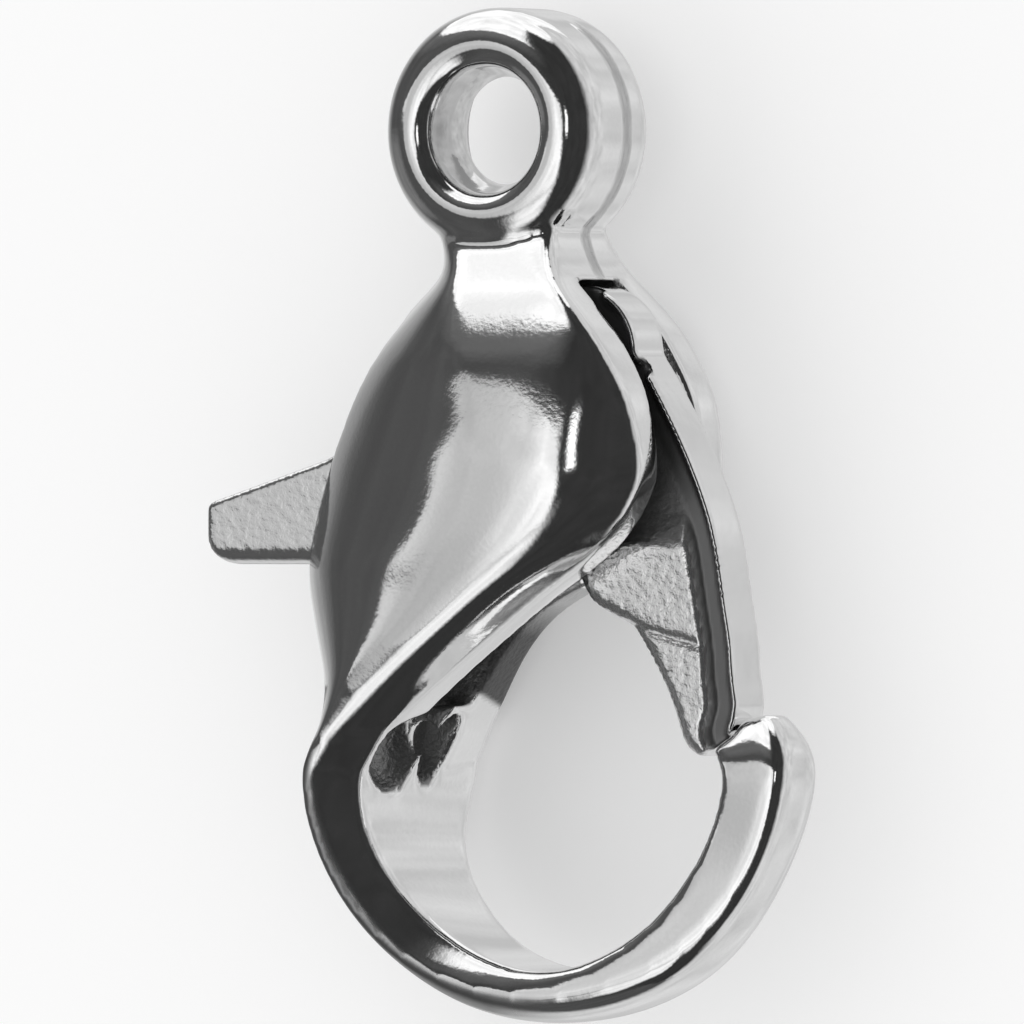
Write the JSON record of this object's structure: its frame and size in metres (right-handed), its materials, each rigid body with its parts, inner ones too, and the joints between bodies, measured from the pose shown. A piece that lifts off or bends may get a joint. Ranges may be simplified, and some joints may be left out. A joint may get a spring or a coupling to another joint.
{
  "type": "lobster clasp",
  "caption": "Cast lobster clasp for a chain or bracelet, with a round eye, a curved hook and a sprung lever that closes it.",
  "frame": {"origin": "middle of the part's box in X and Y, on the surface that the clasp lies on", "axes": "+Y towards the eye, +X towards the gate, +Z out of the front; the clasp lies on its back"},
  "size_m": [0.01, 0.015, 0.004],
  "materials": {
    "cast_silver": "polished",
    "lever_silver": "polished",
    "pin_steel": "plain"
  },
  "bodies": {
    "clasp": {"body": "cast_silver", "hinge_pin": "pin_steel"},
    "gate": {"lever": "lever_silver"}
  },
  "joints": [
    {"name": "lever_hinge", "type": "hinge", "parent": "clasp", "child": "gate", "pos_m": [0.00141, 0.0024, 0.002], "axis": [0, 0, -1], "range_deg": [0, 22], "stiffness_Nm_per_rad": 0.01, "springref_deg": -28.65}
  ]
}
